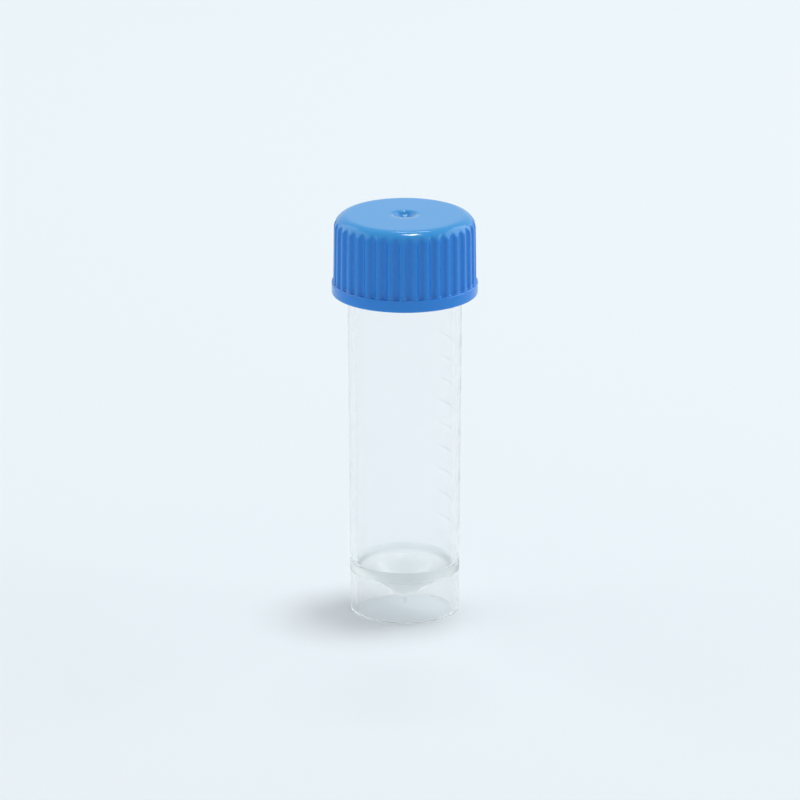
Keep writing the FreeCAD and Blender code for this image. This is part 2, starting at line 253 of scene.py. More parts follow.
def turned_mesh(name, r, z, azimuth, poles=None):
    """A closed surface round the Z axis on a grid of rows (along the section) and columns.

    Formula: x = r cos a, y = r sin a. With poles (low, high) the first and last rows close in
    a point on the axis; without, the last row joins the first. Rows run so that the outside
    of the material is on the right of the section seen at azimuth 0.
    """
    rows, columns = r.shape
    grid = np.stack([r * np.cos(azimuth), r * np.sin(azimuth), z], axis=2).reshape(-1, 3)
    i = np.arange(rows - 1 if poles else rows)[:, None]
    j = np.arange(columns)[None]
    after_i = (i + 1) % rows
    after_j = (j + 1) % columns
    quads = np.stack(
        [
            i * columns + j,
            i * columns + after_j,
            after_i * columns + after_j,
            after_i * columns + j,
        ],
        axis=2,
    ).reshape(-1, 4)
    faces = quads.tolist()
    if poles:
        first, last = rows * columns, rows * columns + 1
        grid = np.concatenate([grid, [[0, 0, poles[0]], [0, 0, poles[1]]]])
        ring = np.arange(columns)
        following = (ring + 1) % columns
        top = (rows - 1) * columns
        faces += np.stack([np.full(columns, first), following, ring], axis=1).tolist()
        faces += np.stack(
            [np.full(columns, last), top + ring, top + following], axis=1
        ).tolist()
    return new_piece(name, grid * MM, faces)


def new_piece(name, vertices, faces):
    """A smooth-shaded mesh object at the origin."""
    mesh = bpy.data.meshes.new(name)
    mesh.from_pydata(vertices.tolist(), [], faces)
    mesh.polygons.foreach_set("use_smooth", np.ones(len(mesh.polygons), bool))
    mesh.update()
    piece = bpy.data.objects.new(name, mesh)
    bpy.context.collection.objects.link(piece)
    return piece


def ramp(x, low, high):
    """0 below low, 1 above high, and the smooth step t^2 (3 - 2 t) between."""
    t = np.clip((x - low) / (high - low), 0, 1)
    return t * t * (3 - 2 * t)


def soft_min(a, b, blend):
    """The smaller of two values, rounded where they cross: -k log(e^(-a/k) + e^(-b/k))."""
    low = np.minimum(a, b)
    return low - blend * np.log1p(np.exp(-np.abs(a - b) / blend))


def thread_relief(azimuth, z, start_z, base, relief):
    """How far the thread's ridges stand out of the wall.

    Each ridge climbs z = start + lead * a / 2 pi. Across it the relief falls off at the
    flank's slope from the middle, cut off flat at the crest, and it fades in and out over
    the run-out at both ends.
    """
    height = np.zeros(np.broadcast_shapes(azimuth.shape, z.shape))
    for start in range(THREAD_STARTS):
        turn = (azimuth - start * 2 * math.pi / THREAD_STARTS) % (2 * math.pi)
        off = np.abs(z - start_z - THREAD_LEAD * turn / (2 * math.pi))
        ridge = (base / 2 - off) / FLANK_SLOPE
        ridge = soft_min(ridge, np.full_like(ridge, relief), THREAD_CREST_BLEND)
        end = 2 * math.pi * THREAD_TURNS
        fade = ramp(turn, 0, THREAD_RUN_OUT) * ramp(end - turn, 0, THREAD_RUN_OUT)
        height = np.maximum(height, np.clip(ridge, 0, None) * fade)
    return height


# ---------------------------------------------------------------- numerals

def curve_points(centre_x, centre_y, radius_x, radius_y, start, end, steps=10):
    """Points on an ellipse arc, in degrees: x = cx + rx cos t, y = cy + ry sin t."""
    t = np.radians(np.linspace(start, end, steps + 1))
    return np.stack([centre_x + radius_x * np.cos(t), centre_y + radius_y * np.sin(t)], axis=1)


def numeral_strokes(digit):
    """The strokes of a plain numeral in a box one unit wide and one high."""
    if digit == 1:
        return [np.array([(0.28, 0.78), (0.55, 1.0), (0.55, 0.0)])]
    if digit == 2:
        bow = curve_points(0.5, 0.72, 0.42, 0.28, 165, -35)
        return [np.concatenate([bow, [(0.06, 0.0), (0.96, 0.0)]])]
    if digit == 3:
        upper = curve_points(0.48, 0.76, 0.38, 0.24, 150, -80)
        lower = curve_points(0.48, 0.27, 0.44, 0.27, 85, -150)
        return [np.concatenate([upper, lower])]
    if digit == 4:
        return [np.array([(0.98, 0.3), (0.04, 0.3), (0.7, 1.0), (0.7, 0.0)])]
    bow = curve_points(0.46, 0.32, 0.46, 0.32, 110, -145)
    return [np.concatenate([[(0.9, 1.0), (0.22, 1.0), (0.14, 0.52)], bow])]


def stroke_distance(x, y, points):
    """Distance from (x, y) to a polyline: the least distance to any of its segments."""
    nearest = np.full(np.broadcast_shapes(x.shape, y.shape), np.inf)
    for (ax, ay), (bx, by) in zip(points, points[1:]):
        length = max((bx - ax) ** 2 + (by - ay) ** 2, 1e-9)
        t = np.clip(((x - ax) * (bx - ax) + (y - ay) * (by - ay)) / length, 0, 1)
        nearest = np.minimum(nearest, np.hypot(x - ax - t * (bx - ax), y - ay - t * (by - ay)))
    return nearest


def raised(distance, width, relief):
    """A raised stroke: full relief inside half its width, with a soft edge."""
    return relief * (1 - ramp(distance, width / 2 - STROKE_EDGE, width / 2 + STROKE_EDGE))


def volume_marks(azimuth, z):
    """Relief of the volume lines and numerals on the tube's wall, over its unrolled surface.

    The long lines stand at whole millilitres, the short ones halfway between, and each
    numeral beside the end of its long line, read from outside. The lines get shallower
    towards the mould's parting line.
    """
    degrees = (np.degrees(azimuth) + 180) % 360 - 180
    radius = BASE_RADIUS + WALL_TAPER * z
    around = np.radians(degrees) * radius
    depth = LINE_FADE_SHARE + (1 - LINE_FADE_SHARE) * ramp(degrees, LINE_FADE_END, LINE_FADE_START)
    relief = np.zeros(np.broadcast_shapes(azimuth.shape, z.shape))
    short = [(low + high) / 2 for low, high in zip(LINE_HEIGHTS, LINE_HEIGHTS[1:])]
    for heights, end in ((LINE_HEIGHTS, LONG_LINE_END), (short, SHORT_LINE_END)):
        for height in heights:
            past = np.maximum(end - degrees, degrees - LINE_END)
            past = np.clip(np.radians(past) * radius + LINE_WIDTH / 2, 0, None)
            away = np.hypot(past, z - height)
            relief = np.maximum(relief, raised(away, LINE_WIDTH, LINE_RELIEF) * depth)
    for digit, height in enumerate(LINE_HEIGHTS, start=1):
        x = around - math.radians(NUMERAL_AZIMUTH) * radius + NUMERAL_WIDTH / 2
        y = z - height - NUMERAL_RISE + NUMERAL_HEIGHT / 2
        scale = np.array([NUMERAL_WIDTH, NUMERAL_HEIGHT])
        for stroke in numeral_strokes(digit):
            away = stroke_distance(x, y, stroke * scale)
            relief = np.maximum(relief, raised(away, NUMERAL_STROKE, NUMERAL_RELIEF))
    return relief


# ---------------------------------------------------------------- the three mouldings

def vial_columns():
    """Azimuths of the tube's columns: fine at the numerals and line ends, coarse elsewhere."""
    around = [np.arange(0, 360, 2.25)]
    half = math.degrees(NUMERAL_WIDTH / 2 / BASE_RADIUS) + 2.5
    around.append(np.arange(NUMERAL_AZIMUTH - half, NUMERAL_AZIMUTH + half, 0.62))
    for end in (LINE_END, SHORT_LINE_END, LONG_LINE_END % 360):
        around.append(end + np.arange(-1.8, 1.9, 0.6))
    return np.radians(spaced(np.concatenate(around), 0.35))


def vial_rows():
    """Heights of the tube's outside rows: fine at the numerals, lines and thread."""
    wall = [np.arange(0.6, SHOULDER_Z - 0.3, 1.6), [CLOUDY_RING_LOW_Z, CLOUDY_RING_HIGH_Z]]
    for height in LINE_HEIGHTS:
        reach = NUMERAL_HEIGHT / 2 + NUMERAL_STROKE
        wall.append(height + np.arange(-reach, reach + NUMERAL_RISE, 0.105))
    for low, high in zip(LINE_HEIGHTS, LINE_HEIGHTS[1:]):
        wall.append((low + high) / 2 + np.arange(-0.33, 0.34, 0.082))
    return spaced(np.concatenate(wall), 0.06)


def build_vial():
    """The tube: section from under the floor's tip round the skirt, up the outside and back.

    Radius = section radius + volume marks on the tube + thread ridges on the neck.
    """
    cone_rise, bowl_rise = math.tan(CONE_SLOPE), math.tan(BOWL_SLOPE)
    knee_z = FLOOR_Z - (FLOOR_RADIUS - KNEE_RADIUS) * bowl_rise
    centre = knee_z - KNEE_RADIUS * cone_rise + TIP_ROUND / math.cos(CONE_SLOPE)
    under = TIP_ROUND + FLOOR_WALL
    under_cone = centre - under / math.cos(CONE_SLOPE)
    under_bowl = knee_z - KNEE_RADIUS * bowl_rise - FLOOR_WALL / math.cos(BOWL_SLOPE)
    under_knee = (under_bowl - under_cone) / (cone_rise - bowl_rise)
    skirt_root_z = under_bowl + SKIRT_ROOT_RADIUS * bowl_rise
    under_tip = tip_arc(under, centre, CONE_SLOPE, 10)
    under_tip = under_tip[under_tip[:, 0] > NIB_RADIUS + 0.15]
    nib_root_z = centre - math.sqrt(under**2 - NIB_RADIUS**2)
    tube_top = BASE_RADIUS + WALL_TAPER * SHOULDER_Z
    outside = rounded_path(
        [
            (0.02, NIB_END_Z, 0),
            (NIB_RADIUS, NIB_END_Z, NIB_END_ROUND, 0.3),
            (NIB_RADIUS, nib_root_z, NIB_ROOT_ROUND, 0.3),
            (*under_tip[0], 0),
            *[(*point, 0) for point in under_tip[1:-1]],
            (*under_tip[-1], 0, 0.7),
            (under_knee, under_cone + under_knee * cone_rise, KNEE_ROUND, 0.7),
            (SKIRT_ROOT_RADIUS, skirt_root_z, UNDER_FLOOR_ROUND, 0.8),
            (SKIRT_MOUTH_RADIUS, 0, SKIRT_EDGE_ROUND, 0.3),
            (BASE_RADIUS, 0, SKIRT_EDGE_ROUND, vial_rows()),
            (tube_top, SHOULDER_Z, NECK_ROOT_ROUND, 0.1),
            (NECK_RADIUS, SHOULDER_Z + NECK_STEP, NECK_STEP_ROUND, 0.125),
            (NECK_RADIUS, RIM_Z, LIP_ROUND, 0.2),
            (MOUTH_RADIUS, RIM_Z, LIP_ROUND, 2.0),
            (FLOOR_RADIUS, FLOOR_Z, FLOOR_ROUND, 0.6),
            (KNEE_RADIUS, knee_z, KNEE_ROUND, 0.6),
            (TIP_ROUND * math.sin(CONE_SLOPE), centre - TIP_ROUND * math.cos(CONE_SLOPE), 0),
        ]
    )
    inner_tip = tip_arc(TIP_ROUND, centre, CONE_SLOPE, 10)[1:-1][::-1]
    section = np.concatenate([outside, inner_tip])
    azimuth = vial_columns()[None]
    r = np.repeat(section[:, :1], azimuth.size, axis=1)
    z = np.repeat(section[:, 1:], azimuth.size, axis=1)
    outer = np.arange(len(section)) < np.argmax(section[:, 1] >= RIM_Z)
    wall = outer & (section[:, 0] > SKIRT_MOUTH_RADIUS + 0.5) & (section[:, 1] < SHOULDER_Z - 0.5)
    neck = outer & (section[:, 1] > SHOULDER_Z + NECK_STEP)
    r[wall] += volume_marks(azimuth, section[wall, 1:])
    r[neck] += thread_relief(
        azimuth, section[neck, 1:], NECK_THREAD_Z, NECK_THREAD_BASE, NECK_THREAD_RELIEF
    )
    vial = turned_mesh("vial_moulding", r, z, azimuth, (NIB_END_Z, centre - TIP_ROUND))
    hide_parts("vial")
    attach(vial, "vial")
    return vial


def part_plastics(vial):
    """Gives each face of the tube its material: 0 for the wall, 1 cloudy floor, 2 skirt.

    A face's zone follows from where its middle lies and whether it looks down.
    """
    mesh = vial.data
    centres = np.empty(len(mesh.polygons) * 3)
    normals = np.empty(len(mesh.polygons) * 3)
    mesh.polygons.foreach_get("center", centres)
    mesh.polygons.foreach_get("normal", normals)
    centres = centres.reshape(-1, 3) / MM
    z = centres[:, 2]
    around = np.hypot(centres[:, 0], centres[:, 1])
    looks_down = normals.reshape(-1, 3)[:, 2] < -0.1
    under = (around < SKIRT_ROOT_RADIUS) & (z < FLOOR_Z) & looks_down
    nib = (around < NIB_RADIUS + 0.1) & (z < CLOUDY_NIB_Z)
    corner = (around > FLOOR_RADIUS - CLOUDY_CORNER_WIDTH) & (around < FLOOR_RADIUS + 0.08)
    corner &= np.abs(z - CLOUDY_CORNER_MIDDLE_Z) < CLOUDY_CORNER_HALF_HEIGHT
    ring = (around > BASE_RADIUS - 0.1) & (z > CLOUDY_RING_LOW_Z) & (z < CLOUDY_RING_HIGH_Z)
    skirt = (around > SKIRT_ROOT_RADIUS - 0.05) & (z < CLOUDY_RING_LOW_Z)
    zone = np.where(under | nib | corner | ring, 1, np.where(skirt, 2, 0))
    mesh.polygons.foreach_set("material_index", zone.astype(np.int32))


def flute_radius(azimuth, z):
    """Radius of the grip's wave: round valleys that run into round ribs.

    Off a flute's middle by angle f, the valley is a circle seen from the axis,
    r = V cos f - sqrt(v^2 - V^2 sin^2 f), and the rib beside it, at half a pitch h, is
    r = C cos(h - f) + sqrt(c^2 - C^2 sin^2(h - f)). Both widen downwards with the taper.
    """
    half = math.pi / FLUTES
    off = np.abs((azimuth - FLUTE_PHASE + half) % (2 * half) - half)
    rib = CREST_RADIUS - CREST_ROUND
    rib_x, rib_y = rib * math.cos(half), rib * math.sin(half)
    inset = rib_x - VALLEY_RADIUS
    valley_round = (inset**2 + rib_y**2 - CREST_ROUND**2) / 2 / (CREST_ROUND + inset)
    valley = VALLEY_RADIUS + valley_round
    share = valley_round / (valley_round + CREST_ROUND)
    meet = math.atan2(rib_y * share, valley + (rib_x - valley) * share)
    in_valley = np.clip(valley_round**2 - (valley * np.sin(off)) ** 2, 0, None)
    on_rib = np.clip(CREST_ROUND**2 - (rib * np.sin(half - off)) ** 2, 0, None)
    wave = np.where(
        off < meet,
        valley * np.cos(off) - np.sqrt(in_valley),
        rib * np.cos(half - off) + np.sqrt(on_rib),
    )
    return wave + GRIP_TAPER * (CAP_TOP_Z + FLANGE_THICKNESS - z)


def gate_mark(r, azimuth):
    """Depth of the moulding gate below the cap's top: a bowl with a torn nub in its middle.

    The bowl is depth * (1 - (r / R)^2)^p, and the nub rises out of it inside a ragged ring.
    """
    bowl = GATE_DEPTH * np.clip(1 - (r / GATE_RADIUS) ** 2, 0, None) ** GATE_BOWL_POWER
    ragged = 1 + 0.12 * np.sin(3 * azimuth + 0.6) + 0.1 * np.sin(7 * azimuth)
    edge = GATE_NUB_RADIUS * ragged
    nub = GATE_NUB_HEIGHT * (1 - ramp(r, edge * 0.8, edge * 1.5))
    torn = GATE_TORN_SHARE * np.clip(r / GATE_NUB_RADIUS, 0, 1) * np.sin(2 * azimuth + 1)
    return bowl - nub * (1 + torn)


def build_cap():
    """The cap: section from the ceiling's middle round the bore and grip to the gate.

    On the grip the radius is the softer minimum of the section's and the flutes' wave, and a
    quarter circle widens its foot. On the bore the thread's ridges are taken off the radius.
    """
    columns = FLUTES * COLUMNS_PER_FLUTE
    azimuth = (np.arange(columns) * 2 * math.pi / columns + FLUTE_PHASE)[None]
    foot_radius = GRIP_TOP_RADIUS + GRIP_TAPER * (CAP_TOP_Z - FLANGE_TOP_Z)
    inside = rounded_path(
        [
            (0.4, CEILING_Z, 0, 1.5),
            (LIP_INNER_RADIUS, CEILING_Z, LIP_ROOT_ROUND, 0.8),
            (LIP_INNER_RADIUS, LIP_END_Z, LIP_END_ROUND, 0.4),
            (LIP_OUTER_RADIUS, LIP_END_Z, LIP_END_ROUND, 0.8),
            (LIP_OUTER_RADIUS, CEILING_Z, 0.1, 0.8),
            (CAP_BORE_RADIUS, CEILING_Z, LIP_ROOT_ROUND, 0.15),
            (CAP_BORE_RADIUS, CAP_BOTTOM_Z + CAP_MOUTH_CHAMFER, 0.1, 0.3),
            (CAP_BORE_RADIUS + CAP_MOUTH_CHAMFER, CAP_BOTTOM_Z, 0.1, 0.5),
            (FLANGE_RADIUS, CAP_BOTTOM_Z, FLANGE_BOTTOM_ROUND, 0.35),
            (FLANGE_RADIUS, FLANGE_TOP_Z, FLANGE_TOP_ROUND, 0.06),
            (foot_radius, FLANGE_TOP_Z, 0),
        ],
        math.radians(18),
    )
    foot_rows = FLANGE_TOP_Z + FOOT_ROUND * FOOT_ROW_SHARES
    grip_rows = np.concatenate([foot_rows, np.arange(FLANGE_TOP_Z + 1, CAP_TOP_Z, 1.0)])
    outside = rounded_path(
        [
            (foot_radius, FLANGE_TOP_Z, 0, grip_rows),
            (GRIP_TOP_RADIUS, CAP_TOP_Z, SHOULDER_ROUND, 0.9),
            (GATE_RADIUS, CAP_TOP_Z, 0, 0.075),
            (0.06, CAP_TOP_Z, 0),
        ],
        math.radians(4),
    )
    section = np.concatenate([inside, outside])
    r = np.repeat(section[:, :1], columns, axis=1)
    z = np.repeat(section[:, 1:], columns, axis=1)
    row = np.arange(len(section))
    grip = row >= len(inside)
    fluted = grip | (row == len(inside) - 1)
    r[fluted] = soft_min(r[fluted], flute_radius(azimuth, z[fluted]), FLUTE_BLEND)
    above = np.clip(1 - (z[fluted] - FLANGE_TOP_Z) / FOOT_ROUND, 0, 1)
    widened = r[fluted] + FOOT_ROUND * (1 - np.sqrt(1 - above**2))
    r[fluted] = np.where(above > 0, np.minimum(widened, foot_radius + FOOT_LEDGE), r[fluted])
    bore = (row < len(inside)) & (np.abs(section[:, 0] - CAP_BORE_RADIUS) < 1e-6)
    r[bore] -= thread_relief(
        azimuth,
        section[bore, 1:],
        NECK_THREAD_Z - CAP_THREAD_DROP,
        CAP_THREAD_BASE,
        CAP_THREAD_RELIEF,
    )
    gate = grip & (section[:, 0] < GATE_RADIUS)
    z[gate] -= gate_mark(r[gate], azimuth)
    middle = CAP_TOP_Z - GATE_DEPTH + GATE_NUB_HEIGHT
    cap = turned_mesh("cap_moulding", r, z, azimuth, (CEILING_Z, middle))
    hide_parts("screw_cap")
    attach(cap, "cap")
    return cap


def build_seal():
    """The gasket: a flat ring with softly broken edges.

    Its section starts and ends inside the lower face, so that no edge falls on the seam.
    """
    inner, outer = SEAL_INNER_RADIUS, SEAL_HIGH[0]
    low, high = SEAL_LOW[2], SEAL_HIGH[2]
    section = rounded_path(
        [
            ((inner + outer) / 2, low, 0, 0.4),
            (outer, low, SEAL_EDGE_ROUND, 0.4),
            (outer, high, SEAL_EDGE_ROUND, 0.4),
            (inner, high, SEAL_EDGE_ROUND, 0.4),
            (inner, low, SEAL_EDGE_ROUND, 0.4),
            ((inner + outer) / 2 - 0.2, low, 0),
        ]
    )
    azimuth = np.linspace(0, 2 * math.pi, SEAL_COLUMNS, endpoint=False)[None]
    r = np.repeat(section[:, :1], azimuth.size, axis=1)
    z = np.repeat(section[:, 1:], azimuth.size, axis=1)
    seal = turned_mesh("gasket", r, z, azimuth)
    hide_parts("seal_ring")
    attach(seal, "seal")
    return seal


# ---------------------------------------------------------------- materials

PLASTIC_IOR = 1.49
WALL_PALE, WALL_DEEP = (0.992, 0.996, 0.998), (0.972, 0.976, 0.978)
WALL_ROUGH = (0.08, 0.11)
WALL_CLEAR = 1.0
WALL_SHADOW = (0.9, 0.9, 0.9)
SKIRT_PALE, SKIRT_DEEP = (0.97, 0.97, 0.965), (0.95, 0.95, 0.945)
SKIRT_ROUGH = (0.09, 0.13)
SKIRT_SHADOW = (0.66, 0.675, 0.7)
FLOOR_PALE, FLOOR_DEEP = (0.935, 0.98, 0.985), (0.895, 0.95, 0.96)
FLOOR_ROUGH = (0.6, 0.7)
FLOOR_CLEAR = 0.9
FLOOR_SHADOW = (0.8, 0.8, 0.8)
CAP_PALE, CAP_DEEP = (0.010, 0.252, 0.810), (0.008, 0.228, 0.765)
# painted light: the cap's top is painted paler, for the light it catches from above
CAP_TOP_PAINTED_LIGHT = (0.012, 0.293, 0.720)
CAP_PAINTED_LIGHT_HEIGHTS = (56.2, 57.6)
# painted highlight: the pale colour of the gate's nub
GATE_PAINTED_HIGHLIGHT = (0.34, 0.66, 0.92)
CAP_ROUGH = (0.08, 0.12)
CAP_BUMP = 0.15
GASKET_PALE, GASKET_DEEP = (0.82, 0.83, 0.80), (0.76, 0.77, 0.74)
GASKET_ROUGH = (0.5, 0.6)
GASKET_BUMP = 0.3
NATURAL_BUMP = 0.2


def add_node(tree, kind, values=None, **settings):
    """A node with its settings and unlinked input values."""
    node = tree.nodes.new(kind)
    for name, value in settings.items():
        setattr(node, name, value)
    for name, value in (values or {}).items():
        node.inputs[name].default_value = value
    return node


def moulded_skin():
    """Node group: the surface that a steel mould leaves on plastic.

    Cloud is a broad flow pattern. Height adds a fine grain to it, for bump.
    """
    group = bpy.data.node_groups.new("moulded_skin", "ShaderNodeTree")
    for name in ("Flow Size", "Grain Size"):
        group.interface.new_socket(name, in_out="INPUT", socket_type="NodeSocketFloat")
    for name in ("Cloud", "Height"):
        group.interface.new_socket(name, in_out="OUTPUT", socket_type="NodeSocketFloat")
    start = group.nodes.new("NodeGroupInput")
    end = group.nodes.new("NodeGroupOutput")
    place = group.nodes.new("ShaderNodeTexCoord")
    stretch = add_node(group, "ShaderNodeMapping", {"Scale": (1, 1, 0.35)})
    cloud = add_node(group, "ShaderNodeTexNoise", {"Detail": 3.0, "Roughness": 0.5})
    grain = add_node(group, "ShaderNodeTexNoise", {"Detail": 2.0, "Roughness": 0.6})
    weigh = add_node(group, "ShaderNodeMath", {1: 0.25}, operation="MULTIPLY")
    total = add_node(group, "ShaderNodeMath", operation="ADD")
    link = group.links.new
    link(place.outputs["Object"], stretch.inputs["Vector"])
    link(stretch.outputs["Vector"], cloud.inputs["Vector"])
    link(place.outputs["Object"], grain.inputs["Vector"])
    link(start.outputs["Flow Size"], cloud.inputs["Scale"])
    link(start.outputs["Grain Size"], grain.inputs["Scale"])
    link(grain.outputs["Fac"], weigh.inputs[0])
    link(cloud.outputs["Fac"], total.inputs[0])
    link(weigh.outputs["Value"], total.inputs[1])
    link(cloud.outputs["Fac"], end.inputs["Cloud"])
    link(total.outputs["Value"], end.inputs["Height"])
    return group


def plastic(name, skin, pale, deep, roughness, bump, flow_size=90.0, grain_size=2600.0):
    """A Principled material over the moulded skin: colour and roughness drift with its flow."""
    material = bpy.data.materials.new(name)
    material.use_nodes = True
    tree = material.node_tree
    shader = tree.nodes["Principled BSDF"]
    surface = add_node(tree, "ShaderNodeGroup", node_tree=skin)
    surface.inputs["Flow Size"].default_value = flow_size
    surface.inputs["Grain Size"].default_value = grain_size
    colour = add_node(tree, "ShaderNodeMix", data_type="RGBA")
    colour.inputs[6].default_value = (*deep, 1)
    colour.inputs[7].default_value = (*pale, 1)
    gloss = add_node(
        tree,
        "ShaderNodeMapRange",
        {"From Min": 0.3, "From Max": 0.7, "To Min": roughness[0], "To Max": roughness[1]},
    )
    relief = add_node(tree, "ShaderNodeBump", {"Strength": bump, "Distance": 0.00002})
    link = tree.links.new
    link(surface.outputs["Cloud"], colour.inputs[0])
    link(colour.outputs[2], shader.inputs["Base Color"])
    link(surface.outputs["Cloud"], gloss.inputs["Value"])
    link(gloss.outputs["Result"], shader.inputs["Roughness"])
    link(surface.outputs["Height"], relief.inputs["Height"])
    link(relief.outputs["Normal"], shader.inputs["Normal"])
    return material, shader


def natural_plastic(name, skin, pale, deep, roughness, clearness, shadow):
    """Natural polypropylene: lets light through, more or less clouded by its thickness.

    Lamps shine through it: a shadow ray passes each face with the shadow tint.
    """
    material, shader = plastic(name, skin, pale, deep, roughness, NATURAL_BUMP)
    shader.inputs["IOR"].default_value = PLASTIC_IOR
    shader.inputs["Transmission Weight"].default_value = clearness
    tree = material.node_tree
    rays = tree.nodes.new("ShaderNodeLightPath")
    clear = add_node(tree, "ShaderNodeBsdfTransparent", {"Color": (*shadow, 1)})
    mix = tree.nodes.new("ShaderNodeMixShader")
    output = tree.nodes["Material Output"]
    tree.links.new(rays.outputs["Is Shadow Ray"], mix.inputs[0])
    tree.links.new(shader.outputs["BSDF"], mix.inputs[1])
    tree.links.new(clear.outputs["BSDF"], mix.inputs[2])
    tree.links.new(mix.outputs["Shader"], output.inputs["Surface"])
    return material


def wall_plastic(skin):
    """The tube's wall: thin, so nearly clear."""
    return natural_plastic(
        "thin_polypropylene", skin, WALL_PALE, WALL_DEEP, WALL_ROUGH, WALL_CLEAR, WALL_SHADOW
    )


def floor_plastic(skin):
    """The conical floor: thick and slowly cooled, so clouded."""
    return natural_plastic(
        "thick_polypropylene", skin, FLOOR_PALE, FLOOR_DEEP, FLOOR_ROUGH, FLOOR_CLEAR, FLOOR_SHADOW
    )


def skirt_plastic(skin):
    """The skirt: as thin as the wall, and a little duller where it left the mould's base."""
    return natural_plastic(
        "skirt_polypropylene", skin, SKIRT_PALE, SKIRT_DEEP, SKIRT_ROUGH, WALL_CLEAR, SKIRT_SHADOW
    )


def cap_plastic(skin):
    """Blue polyethylene with a satin skin; painted light makes its top paler, and a painted
    highlight makes the gate's nub pale.
    """
    material, shader = plastic("blue_polyethylene", skin, CAP_PALE, CAP_DEEP, CAP_ROUGH, CAP_BUMP)
    shader.inputs["IOR"].default_value = PLASTIC_IOR
    tree = material.node_tree
    colour = shader.inputs["Base Color"].links[0].from_socket
    place = tree.nodes.new("ShaderNodeTexCoord")
    axes = tree.nodes.new("ShaderNodeSeparateXYZ")
    # Painted light: between these two heights the colour turns to the paler top colour.
    top_light_heights = {"From Min": CAP_PAINTED_LIGHT_HEIGHTS[0] * MM, "From Max": CAP_PAINTED_LIGHT_HEIGHTS[1] * MM}
    share = add_node(tree, "ShaderNodeMapRange", top_light_heights, interpolation_type="SMOOTHSTEP")
    blend = add_node(tree, "ShaderNodeMix", data_type="RGBA")
    blend.inputs[7].default_value = (*CAP_TOP_PAINTED_LIGHT, 1)
    link = tree.links.new
    link(place.outputs["Object"], axes.inputs["Vector"])
    link(axes.outputs["Z"], share.inputs["Value"])
    link(share.outputs["Result"], blend.inputs[0])
    link(colour, blend.inputs[6])
    # Painted highlight: where the nub stands near the axis and out of its bowl, the colour is
    # painted pale.
    flat = add_node(tree, "ShaderNodeVectorMath", {1: (1, 1, 0)}, operation="MULTIPLY")
    radius = add_node(tree, "ShaderNodeVectorMath", operation="LENGTH")
    near = {"From Min": 1.4 * GATE_NUB_RADIUS * MM, "From Max": 0.8 * GATE_NUB_RADIUS * MM}
    within = add_node(tree, "ShaderNodeMapRange", near)
    height = {"From Min": (CAP_TOP_Z - GATE_DEPTH) * MM, "From Max": (CAP_TOP_Z - 0.4) * MM}
    raised_by = add_node(tree, "ShaderNodeMapRange", height)
    torn = add_node(tree, "ShaderNodeMath", operation="MULTIPLY")
    painted_highlight = add_node(tree, "ShaderNodeMix", data_type="RGBA")
    painted_highlight.inputs[7].default_value = (*GATE_PAINTED_HIGHLIGHT, 1)
    link(place.outputs["Object"], flat.inputs[0])
    link(flat.outputs["Vector"], radius.inputs[0])
    link(radius.outputs["Value"], within.inputs["Value"])
    link(axes.outputs["Z"], raised_by.inputs["Value"])
    link(within.outputs["Result"], torn.inputs[0])
    link(raised_by.outputs["Result"], torn.inputs[1])
    link(torn.outputs["Value"], painted_highlight.inputs[0])
    link(blend.outputs[2], painted_highlight.inputs[6])
    link(painted_highlight.outputs[2], shader.inputs["Base Color"])
    return material


def gasket_rubber(skin):
    """Off-white silicone, matte."""
    material, _ = plastic(
        "white_silicone", skin, GASKET_PALE, GASKET_DEEP, GASKET_ROUGH, GASKET_BUMP
    )
    return material


# ---------------------------------------------------------------- studio

WORLD = 0.365
KEY = 0.3
OVERHEAD = 0.1
BACK = 0.035
LEFT = 0.33
RIGHT = 0.48
GLINT = 0.005
BACKDROP = (0.815, 0.885, 0.93)
LAMP_DISTANCE = 1.5
FLOOR_REACH = 4.0
FLOOR_CELLS = 8
CAMERA_DISTANCE = 1.5
CAMERA_ELEVATION = math.radians(17.22)
CAMERA_LENS = 480.66
CAMERA_TARGET = Vector((-0.67 * MM, 0, 30.63 * MM))


def build_floor():
    """A plain pale sheet, large enough to fill every view."""
    side = FLOOR_CELLS + 1
    t = np.linspace(-FLOOR_REACH, FLOOR_REACH, side)
    x, y = np.meshgrid(t, t)
    corners = np.stack([x.ravel(), y.ravel(), np.zeros(x.size)], axis=1)
    i, j = np.meshgrid(np.arange(FLOOR_CELLS), np.arange(FLOOR_CELLS), indexing="ij")
    first = (i * side + j).ravel()
    faces = np.stack([first, first + 1, first + side + 1, first + side], axis=1).tolist()
    floor = new_piece("studio_floor", corners, faces)
    material = bpy.data.materials.new("pale_sheet")
    material.use_nodes = True
    shader = material.node_tree.nodes["Principled BSDF"]
    shader.inputs["Base Color"].default_value = (*BACKDROP, 1)
    shader.inputs["Roughness"].default_value = 1.0
    shader.inputs["Specular IOR Level"].default_value = 0.0
    floor.data.materials.append(material)


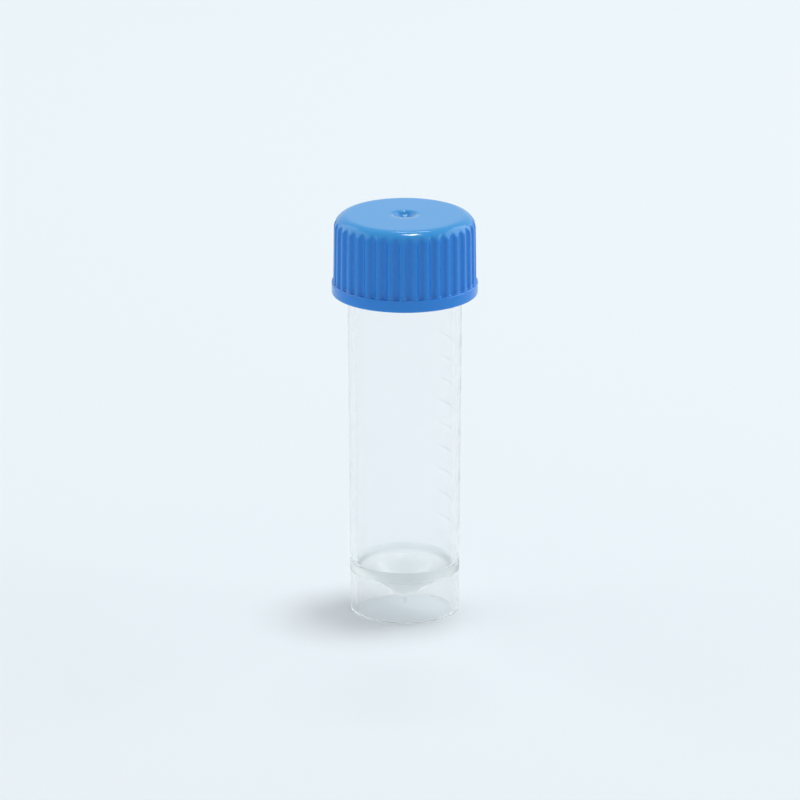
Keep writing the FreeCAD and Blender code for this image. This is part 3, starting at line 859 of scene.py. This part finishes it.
def build_world(strength):
    """Even light from all round, and a plain pale backdrop wherever it is seen directly."""
    world = bpy.data.worlds.new("studio")
    bpy.context.scene.world = world
    world.use_nodes = True
    tree = world.node_tree
    tree.nodes.clear()
    light = add_node(tree, "ShaderNodeBackground", {"Color": (1, 1, 1, 1), "Strength": strength})
    seen = add_node(tree, "ShaderNodeBackground", {"Color": (*BACKDROP, 1), "Strength": 1.0})
    rays = tree.nodes.new("ShaderNodeLightPath")
    either = add_node(tree, "ShaderNodeMath", operation="MAXIMUM")
    any_of = add_node(tree, "ShaderNodeMath", operation="MAXIMUM")
    unlit = add_node(tree, "ShaderNodeMath", {1: 0.5}, operation="LESS_THAN")
    directly = add_node(tree, "ShaderNodeMath", operation="MULTIPLY")
    mix = tree.nodes.new("ShaderNodeMixShader")
    output = tree.nodes.new("ShaderNodeOutputWorld")
    link = tree.links.new
    link(rays.outputs["Is Camera Ray"], either.inputs[0])
    link(rays.outputs["Is Transmission Ray"], either.inputs[1])
    link(either.outputs["Value"], any_of.inputs[0])
    link(rays.outputs["Is Glossy Ray"], any_of.inputs[1])
    link(rays.outputs["Diffuse Depth"], unlit.inputs[0])
    link(any_of.outputs["Value"], directly.inputs[0])
    link(unlit.outputs["Value"], directly.inputs[1])
    link(directly.outputs["Value"], mix.inputs[0])
    link(light.outputs["Background"], mix.inputs[1])
    link(seen.outputs["Background"], mix.inputs[2])
    link(mix.outputs["Shader"], output.inputs["Surface"])


def stand(name, data, target, away, distance):
    """A lamp or camera that stands off a target in a direction and looks back at it."""
    holder = bpy.data.objects.new(name, data)
    bpy.context.collection.objects.link(holder)
    holder.location = target + away * distance
    holder.rotation_mode = "QUATERNION"
    holder.rotation_quaternion = away.to_track_quat("Z", "Y")
    return holder


def soft_box(name, azimuth, elevation, width, height, level):
    """A rectangular lamp aimed at the object.

    azimuth turns from -Y (the viewer's side) towards +X. level is the brightness that it
    alone gives a white sheet facing it: power = level * pi^2 * distance^2.
    """
    a, e = math.radians(azimuth), math.radians(elevation)
    away = Vector((math.sin(a) * math.cos(e), -math.cos(a) * math.cos(e), math.sin(e)))
    lamp = bpy.data.lights.new(name, "AREA")
    lamp.shape = "RECTANGLE"
    lamp.size, lamp.size_y = width, height
    lamp.energy = level * math.pi**2 * LAMP_DISTANCE**2
    stand(name, lamp, Vector((0, 0, CAP_TOP_Z * MM / 2)), away, LAMP_DISTANCE)


def build_camera():
    """The camera: far off, with a long lens, looking down at the object a little."""
    camera = bpy.data.cameras.new("camera")
    camera.sensor_width = 36.0
    camera.lens = CAMERA_LENS
    camera.clip_start, camera.clip_end = 0.05, 20.0
    back = Vector((0, -math.cos(CAMERA_ELEVATION), math.sin(CAMERA_ELEVATION)))
    bpy.context.scene.camera = stand("camera", camera, CAMERA_TARGET, back, CAMERA_DISTANCE)


def build():
    """The object with its materials, the studio round it, and the camera."""
    skin = moulded_skin()
    vial = build_vial()
    vial.data.materials.append(wall_plastic(skin))
    vial.data.materials.append(floor_plastic(skin))
    vial.data.materials.append(skirt_plastic(skin))
    part_plastics(vial)
    build_cap().data.materials.append(cap_plastic(skin))
    build_seal().data.materials.append(gasket_rubber(skin))
    build_floor()
    build_world(WORLD)
    soft_box("key", 128, 83, 0.3, 0.3, KEY)
    soft_box("overhead", 0, 90, 2.2, 2.2, OVERHEAD)
    soft_box("back", 175, 54, 0.36, 0.08, BACK)
    soft_box("glint", 165, 71, 0.12, 0.12, GLINT)
    soft_box("left", -105, 28, 2.0, 1.3, LEFT)
    soft_box("right", 105, 28, 1.8, 1.3, RIGHT)
    build_camera()
    bpy.context.scene.view_settings.view_transform = "Standard"
    bpy.context.scene.cycles.max_bounces = 24
    bpy.context.scene.cycles.glossy_bounces = 16
    bpy.context.scene.cycles.transmission_bounces = 24


build()
